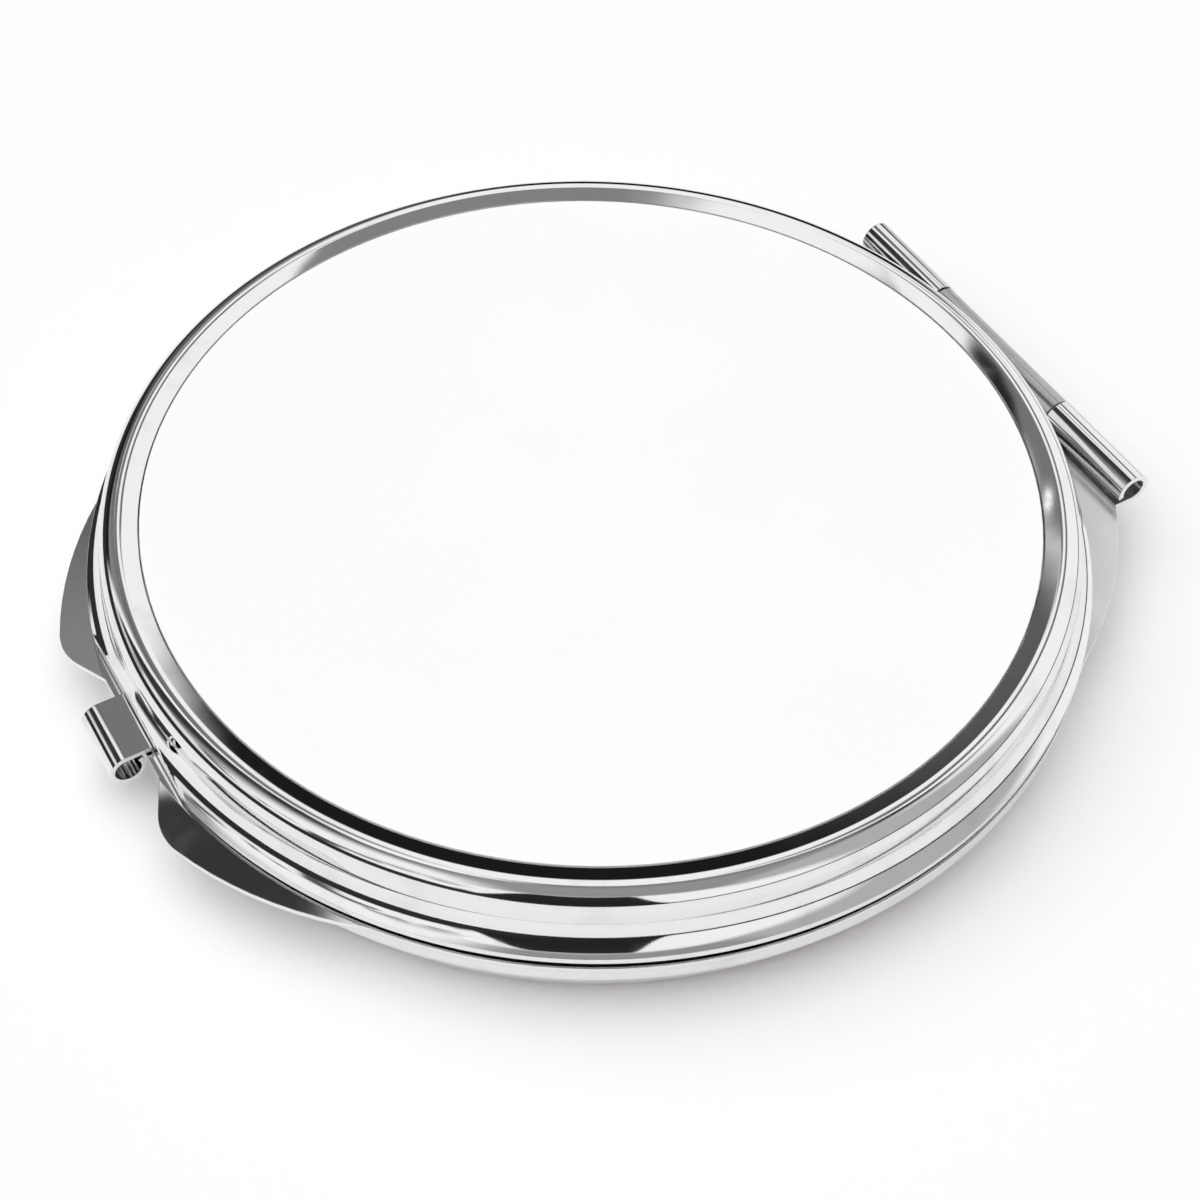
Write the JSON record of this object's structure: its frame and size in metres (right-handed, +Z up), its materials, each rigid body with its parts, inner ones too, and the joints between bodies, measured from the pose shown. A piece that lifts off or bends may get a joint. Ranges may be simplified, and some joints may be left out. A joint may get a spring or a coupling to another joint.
{
  "type": "compact_mirror",
  "caption": "Round chromed pocket compact mirror with a white disc set in the lid, finger wings beside a rolled thumb catch, and a rolled-knuckle hinge",
  "frame": {"origin": "on the body axis, in the plane of the foot ring that the closed compact stands on", "axes": "+Z up through the top disc, +Y towards the hinge, -Y towards the thumb catch, +X to the right seen from the thumb catch"},
  "size_m": [0.0656, 0.0695, 0.0095],
  "materials": {
    "polished_plate": "bright nickel-chrome plate over drawn and stamped sheet",
    "satin_plate": "nickel-chrome plate left satin",
    "white_disc": "satin white enamel on flat sheet",
    "pin_steel": "drawn steel wire with sheared ends",
    "mirror_glass": "silvered glass with a ground edge",
    "foam_pad": "thin closed-cell foam",
    "adhesive_film": "double-sided adhesive film"
  },
  "bodies": {
    "base": {"base_shell": "polished_plate", "base_mirror_pad": "foam_pad", "base_mirror": "mirror_glass", "base_frame": "polished_plate", "hinge_pin": "pin_steel"},
    "lid": {"lid_shell": "polished_plate", "lid_frame": "satin_plate", "lid_mirror": "mirror_glass", "lid_mirror_pad": "foam_pad", "top_disc_adhesive": "adhesive_film", "top_disc": "white_disc"},
    "catch": {"thumb_catch": "polished_plate"}
  },
  "joints": [
    {"name": "lid_hinge", "type": "hinge", "parent": "base", "child": "lid", "pos_m": [0, 0.03354, 0.00536], "axis": [-1, 0, 0], "range_deg": [0, 180]},
    {"name": "catch_flex", "type": "hinge", "parent": "lid", "child": "catch", "pos_m": [0, -0.03196, 0.00486], "axis": [-1, 0, 0], "range_deg": [0, 6], "stiffness_Nm_per_rad": 0.05}
  ]
}
